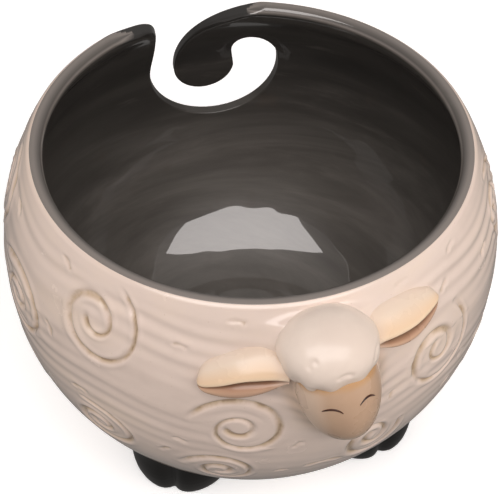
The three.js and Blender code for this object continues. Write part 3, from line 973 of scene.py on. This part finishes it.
class Shader:
    """A glazed ceramic: one Principled shader with procedural colour, roughness and bump."""

    def __init__(self, name, roughness, coat=0.0, coat_roughness=0.05, ior=1.5):
        self.m = bpy.data.materials.new(name)
        self.m.use_nodes = True
        self.t = self.m.node_tree
        self.bsdf = self.t.nodes["Principled BSDF"]
        self.bsdf.inputs["Roughness"].default_value = roughness
        self.bsdf.inputs["IOR"].default_value = ior
        self.bsdf.inputs["Coat Weight"].default_value = coat
        self.bsdf.inputs["Coat Roughness"].default_value = coat_roughness
        self.coords = self.t.nodes.new("ShaderNodeTexCoord").outputs["Object"]
        self.bumps = []

    def put(self, a, b):
        self.t.links.new(a, b)

    def feed(self, socket, value):
        """Gives a socket another node's output or a plain value."""
        if hasattr(value, "is_linked"):
            self.put(value, socket)
        else:
            socket.default_value = value

    def node(self, kind, **props):
        n = self.t.nodes.new("ShaderNode" + kind)
        for k, v in props.items():
            setattr(n, k, v)
        return n

    def value(self, name):
        return self.node("Attribute", attribute_name=name).outputs["Fac"]

    def stretched(self, scale):
        m = self.node("Mapping")
        m.inputs["Scale"].default_value = scale
        self.put(self.coords, m.inputs["Vector"])
        return m.outputs["Vector"]

    def noise(self, scale, detail=4, rough=0.55, stretch=(1, 1, 1), distortion=0.0):
        n = self.node("TexNoise")
        n.inputs["Scale"].default_value = scale
        n.inputs["Detail"].default_value = detail
        n.inputs["Roughness"].default_value = rough
        n.inputs["Distortion"].default_value = distortion
        self.put(self.stretched(stretch), n.inputs["Vector"])
        return n.outputs["Fac"]

    def spots(self, scale, size):
        n = self.node("TexVoronoi")
        n.inputs["Scale"].default_value = scale
        self.put(self.coords, n.inputs["Vector"])
        return self.ramp(n.outputs["Distance"], [(size * 0.5, 1), (size, 0)])

    def ramp(self, fac, stops):
        r = self.node("ValToRGB")
        while len(r.color_ramp.elements) < len(stops):
            r.color_ramp.elements.new(0.5)
        for e, (at, c) in zip(r.color_ramp.elements, stops):
            e.position = at
            e.color = c if isinstance(c, tuple) else (c, c, c, 1)
        r.color_ramp.interpolation = "EASE" if len(stops) == 2 else "LINEAR"
        self.put(fac, r.inputs["Fac"])
        return r.outputs["Color"]

    def mix(self, fac, a, b, how="MIX"):
        n = self.node("Mix", data_type="RGBA", blend_type=how)
        for socket, value in ((0, fac), (6, a), (7, b)):
            self.feed(n.inputs[socket], value)
        return n.outputs[2]

    def tint(self, tone, fac, start, end, amount, colour):
        """Lays a colour over the tone, from none where fac is start to amount where it is end."""
        return self.mix(self.ramp(fac, [(start, 0.0), (end, amount)]), tone, colour)

    def math(self, how, a, b):
        n = self.node("Math", operation=how, use_clamp=how != "SUBTRACT")
        self.feed(n.inputs[0], a)
        self.feed(n.inputs[1], b)
        return n.outputs[0]

    def colour(self, c):
        self.put(c, self.bsdf.inputs["Base Color"])

    def rough(self, fac, low, high):
        n = self.node("MapRange")
        n.inputs["To Min"].default_value = low
        n.inputs["To Max"].default_value = high
        self.put(fac, n.inputs["Value"])
        self.put(n.outputs["Result"], self.bsdf.inputs["Roughness"])

    def bump(self, height, strength, distance_mm):
        n = self.node("Bump")
        n.inputs["Strength"].default_value = strength
        n.inputs["Distance"].default_value = distance_mm * 0.001
        self.put(height, n.inputs["Height"])
        if self.bumps:
            self.put(self.bumps[-1], n.inputs["Normal"])
        self.bumps.append(n.outputs["Normal"])
        self.put(n.outputs["Normal"], self.bsdf.inputs["Normal"])

    def wear(self, o, slot):
        o.data.materials.clear()
        o.data.materials.append(self.m)


CREAM, CREAM_COOL = srgb(237, 218, 206), srgb(229, 210, 198)
CREAM_WARM, OCHRE, UMBER = srgb(241, 221, 205), srgb(202, 176, 144), srgb(146, 118, 92)

cream = Shader("cream_glaze", 0.26, coat=0.7, coat_roughness=0.07)
cloud = cream.noise(26, 5, 0.6, (1, 1, 2.2))
tone = cream.ramp(cloud, [(0.3, CREAM_COOL), (0.5, CREAM), (0.72, CREAM_WARM)])
stain_noise = cream.ramp(cream.noise(150, 3), [(0.32, 0.45), (0.62, 1)])
stain_amount = cream.math("MULTIPLY", cream.value("stain"), stain_noise)
tone = cream.tint(tone, stain_amount, 0.15, 0.85, 0.8, OCHRE)
tone = cream.tint(tone, stain_amount, 0.75, 1, 0.6, UMBER)
tone = cream.mix(cream.spots(420, 0.05), tone, srgb(196, 170, 144))
tone = cream.tint(tone, cream.value("blush"), 0, 1, 0.8, srgb(218, 190, 166))
cream.colour(tone)
cream.rough(cream.noise(60, 4), 0.18, 0.32)
cream.bump(cream.noise(34, 3, 0.5, (1, 1, 1.6)), 0.35, 0.5)
cream.bump(cream.noise(620, 2), 0.12, 0.05)

slate = Shader("slate_glaze", 0.3, coat=1, coat_roughness=0.02, ior=1.45)
brush = slate.noise(9, 7, 0.62, (1, 1, 7.5), 0.6)
streak = slate.noise(22, 5, 0.6, (1, 1, 5.0), 1.2)
# brushed glaze tones for the floor, and much darker ones for the upper inside wall, which are painted shade
low_tone, upper_painted_shade_tone = (
    slate.ramp(brush, [(0.30, thin), (0.48, even), (0.66, thick)])
    for thin, even, thick in [(srgb(98, 93, 88), srgb(118, 113, 107), srgb(142, 136, 130)),
                              (srgb(32, 30, 29), srgb(41, 39, 37), srgb(54, 51, 48))])
split = slate.node("SeparateXYZ")
slate.put(slate.coords, split.inputs[0])
height = slate.math("MULTIPLY", split.outputs["Z"], 8.0)
# the inside darkens from the floor up towards the rim: painted shade on the upper inside wall
tone = slate.mix(slate.ramp(height, [(0.12, 0), (0.40, 0.55), (0.72, 1)]), low_tone, upper_painted_shade_tone)
tone = slate.tint(tone, streak, 0.55, 0.78, 0.28, srgb(122, 116, 110))
tone = slate.tint(tone, slate.noise(70, 4), 0.58, 0.8, 0.25, srgb(90, 76, 66))
# two paler bands run over the lip: towards the glaze's outer edge it is paler where it thins, and the band
# along the inner edge is a painted highlight
lip_thin_glaze_and_painted_highlight = slate.ramp(slate.value("rim"), [(0.10, 0), (0.30, 0.85), (0.42, 0.30), (0.58, 0.45),
                                           (0.80, 0.85)])
tone = slate.mix(lip_thin_glaze_and_painted_highlight, tone, srgb(146, 138, 132))
slate.colour(tone)
slate.bsdf.inputs["Coat IOR"].default_value = 1.9
slate.rough(brush, 0.3, 0.5)
slate.put(slate.ramp(height, [(0.22, 1), (0.30, 0.28), (0.74, 0.28), (0.86, 1)]),
          slate.bsdf.inputs["Coat Weight"])
slate.bump(streak, 0.22, 0.35)
slate.bump(slate.noise(500, 2), 0.06, 0.04)

wool = Shader("wool_glaze", 0.3, coat=0.3, coat_roughness=0.10)
tone = wool.ramp(wool.noise(60, 4), [(0.35, srgb(233, 216, 203)), (0.65, srgb(240, 224, 211))])
# darker, warmer beige towards the lower edge: painted shade
tone = wool.tint(tone, wool.value("low_edge_shade"), 0.2, 1, 0.55, srgb(196, 172, 150))
wool.colour(tone)
wool.rough(wool.noise(90, 3), 0.26, 0.42)
wool.bump(wool.noise(70, 3), 0.35, 0.4)
wool.bump(wool.noise(600, 2), 0.12, 0.05)

peach = Shader("peach_glaze", 0.28, coat=0.25, coat_roughness=0.12)
tone = peach.ramp(peach.noise(70, 4), [(0.3, srgb(195, 162, 135)), (0.7, srgb(201, 169, 142))])
tone = peach.tint(tone, peach.value("to_body"), 0, 1, 1, srgb(222, 196, 174))
# ochre painted shadow under the cap, blotched by noise
under = peach.math("MULTIPLY", peach.value("cap_shadow"),
                   peach.ramp(peach.noise(120, 3), [(0.25, 0.6), (0.7, 1)]))
tone = peach.tint(tone, under, 0.1, 0.9, 0.85, srgb(200, 154, 104))
peach.colour(tone)
peach.rough(peach.noise(80, 3), 0.2, 0.36)
peach.bump(peach.noise(90, 3), 0.3, 0.25)
peach.bump(peach.noise(650, 2), 0.12, 0.05)

ears = Shader("ear_glaze", 0.26, coat=0.3, coat_roughness=0.1)
zone = ears.value("zone")
# pale flap and a brownish inside to the lip; the dark browns along the fold and in the slit between flap
# and lip are painted shade
tone = ears.ramp(zone, [(0, srgb(234, 215, 200)), (0.16, srgb(240, 221, 202)),
                        (0.34, srgb(242, 211, 178)), (0.47, srgb(246, 222, 192)),
                        (0.58, srgb(176, 132, 98)), (0.80, srgb(96, 66, 48)),
                        (0.93, srgb(176, 134, 108)), (1, srgb(206, 168, 142))])
tone = ears.tint(tone, ears.noise(60, 2), 0.3, 0.8, 0.25, srgb(232, 196, 160))
tone = ears.mix(ears.ramp(ears.value("along"), [(0, 0.5), (0.22, 0)]), tone, srgb(233, 213, 198))
ears.colour(tone)
ears.rough(ears.noise(90, 3), 0.2, 0.34)
ears.bump(ears.noise(80, 3), 0.35, 0.3)
ears.bump(ears.noise(650, 2), 0.12, 0.05)

paint = Shader("eye_paint", 0.3, coat=0.4, coat_roughness=0.1)
paint.colour(paint.ramp(paint.noise(900, 3), [(0.3, srgb(50, 26, 18)), (0.7, srgb(82, 46, 30))]))
paint.rough(paint.noise(900, 2), 0.25, 0.4)
paint.bump(paint.noise(1400, 2), 0.2, 0.05)

black = Shader("hoof_glaze", 0.3, coat=0.12, coat_roughness=0.06)
tone = black.ramp(black.noise(70, 5), [(0.35, srgb(10, 9, 8)), (0.7, srgb(22, 19, 17))])
sole = black.ramp(black.value("height"), [(0, 1), (1, 0)])
scuffs = black.ramp(black.noise(260, 4), [(0.45, 0), (0.7, 0.8)])
tone = black.mix(black.math("MULTIPLY", sole, scuffs), tone, srgb(150, 122, 98))
black.colour(tone)
black.rough(black.noise(120, 3), 0.3, 0.42)
black.bump(black.noise(60, 3), 0.3, 0.4)
black.bump(black.noise(500, 2), 0.1, 0.05)

PIECES = [
    (bowl, "bowl_wall", cream, "cream_glaze"), (lining, "glaze_lining", slate, "slate_glaze"),
    (face, "face", peach, "peach_glaze"), (cap, "wool_cap", wool, "wool_glaze"),
    (right_eye, "right_eye_line", paint, "eye_paint"), (left_eye, "left_eye_line", paint, "eye_paint"),
    (right_ear, "right_ear", ears, "ear_glaze"), (left_ear, "left_ear", ears, "ear_glaze"),
] + [(o, k + "_hoof", black, "hoof_glaze") for k, o in hooves.items()]
for piece, node, shader, slot in PIECES:
    shader.wear(piece, slot)
    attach(piece, "root")
    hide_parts(node)

# ---- floor, light and camera
VIEW_TURN = math.radians(17.5)  # the camera looks at the sheep from its right, this far round


def turned(x, y, z):
    """Point of the camera's frame (metres from the bowl's axis at the widest level) in the row frame."""
    c, s = math.cos(VIEW_TURN), math.sin(VIEW_TURN)
    return Vector((c * x + s * y, -s * x + c * y + AXIS_Y * 0.001, z + WIDEST_Z * 0.001))


def floor_plane():
    n, size = 24, 6.0
    g = np.linspace(-size, size, n + 1)
    verts = [(x, y, -0.0002) for y in g for x in g]
    faces = [(j * (n + 1) + i, j * (n + 1) + i + 1, (j + 1) * (n + 1) + i + 1, (j + 1) * (n + 1) + i)
             for j in range(n) for i in range(n)]
    mesh = bpy.data.meshes.new("studio_floor")
    mesh.from_pydata(verts, [], faces)
    o = put_in_scene("studio_floor", mesh)
    paper = Shader("floor_paper", 0.8)
    paper.colour(paper.ramp(paper.noise(3, 3), [(0.3, 0.90), (0.7, 0.93)]))
    paper.bump(paper.noise(300, 2), 0.05, 0.1)
    o.data.materials.append(paper.m)
    o.visible_diffuse = o.visible_glossy = False
    paper.bsdf.inputs["Emission Color"].default_value = (1, 1, 1, 1)
    paper.bsdf.inputs["Emission Strength"].default_value = 0.45


floor_plane()


def softbox(name, place, target, width, height, watts, colour):
    light = bpy.data.lights.new(name, "AREA")
    light.shape, light.size, light.size_y = "RECTANGLE", width, height
    light.energy, light.color = watts, colour
    o = put_in_scene(name, light)
    o.location = place
    o.rotation_euler = (Vector(target) - Vector(place)).to_track_quat("-Z", "Y").to_euler()
    return o


scene = bpy.context.scene
key = softbox("overhead_softbox", turned(0.10, -0.86, 1.0), turned(0.10, -0.86, 0.0), 1.62, 1.07, 17,
              (1.0, 0.945, 0.925))
key.rotation_euler = (0, 0, -VIEW_TURN)
back = softbox("back_softbox", turned(0.0, 0.85, 1.1), turned(0, 0, 0.0), 1.6, 0.9, 3.0, (1.0, 0.97, 0.95))
back.visible_glossy = False
# soft fill bounced from the studio's walls; too diffuse to show as a reflection
for name, place, size, watts in [("fill_right", (1.5, -0.4, 0.05), 1.5, 17.0),
                                 ("fill_front", (-0.3, -1.7, -0.30), 1.2, 1.2),
                                 ("fill_left", (-1.5, -0.2, -0.05), 1.5, 11.0),
                                 ("fill_back", (0.2, 1.7, 0.1), 1.6, 5.0)]:
    fill = softbox(name, turned(*place), turned(0, 0, -0.02), size, size, watts, (1.0, 0.94, 0.89))
    fill.visible_glossy = False

world = bpy.data.worlds.new("studio")
scene.world = world
world.use_nodes = True
wt = world.node_tree
sky = wt.nodes["Background"]
where = wt.nodes.new("ShaderNodeTexCoord")
axis = wt.nodes.new("ShaderNodeVectorMath")
axis.operation = "DOT_PRODUCT"
axis.inputs[1].default_value = (0.15, 0.45, 0.88)
wt.links.new(where.outputs["Generated"], axis.inputs[0])
shade = wt.nodes.new("ShaderNodeValToRGB")
wt.links.new(axis.outputs["Value"], shade.inputs["Fac"])
for e, (at, c) in zip(shade.color_ramp.elements, [(0.02, 0.19), (0.35, 0.11)]):
    e.position, e.color = at, (c, 0.96 * c, 0.93 * c, 1)
above = shade.color_ramp.elements.new(0.9)
above.color = (0.20, 0.192, 0.186, 1)
wt.links.new(shade.outputs["Color"], sky.inputs["Color"])
sky.inputs["Strength"].default_value = 1.0

camera = bpy.data.cameras.new("camera")
camera.lens, camera.sensor_width = 108, 36
camera.clip_start, camera.clip_end = 0.01, 20
cam = put_in_scene("camera", camera)
ELEVATION, ROLL, DISTANCE = math.radians(46.56), math.radians(0.92), 0.4981
# the camera's axes, and the point it looks at, in the frame that turned() takes
away = Vector((0, -math.cos(ELEVATION), math.sin(ELEVATION)))
level, steep = Vector((1, 0, 0)), Vector((0, math.sin(ELEVATION), math.cos(ELEVATION)))
right = math.cos(ROLL) * level + math.sin(ROLL) * steep
up = -math.sin(ROLL) * level + math.cos(ROLL) * steep
target = Vector((-0.00007, 0, -0.00856))
origin = turned(0, 0, 0)
axes = [turned(*v) - origin for v in (right, up, away)]
turn = Matrix(axes).transposed().to_4x4()
cam.matrix_world = Matrix.Translation(turned(*(target + away * DISTANCE))) @ turn
scene.camera = cam
scene.view_settings.view_transform = "Standard"
scene.view_settings.look = "None"
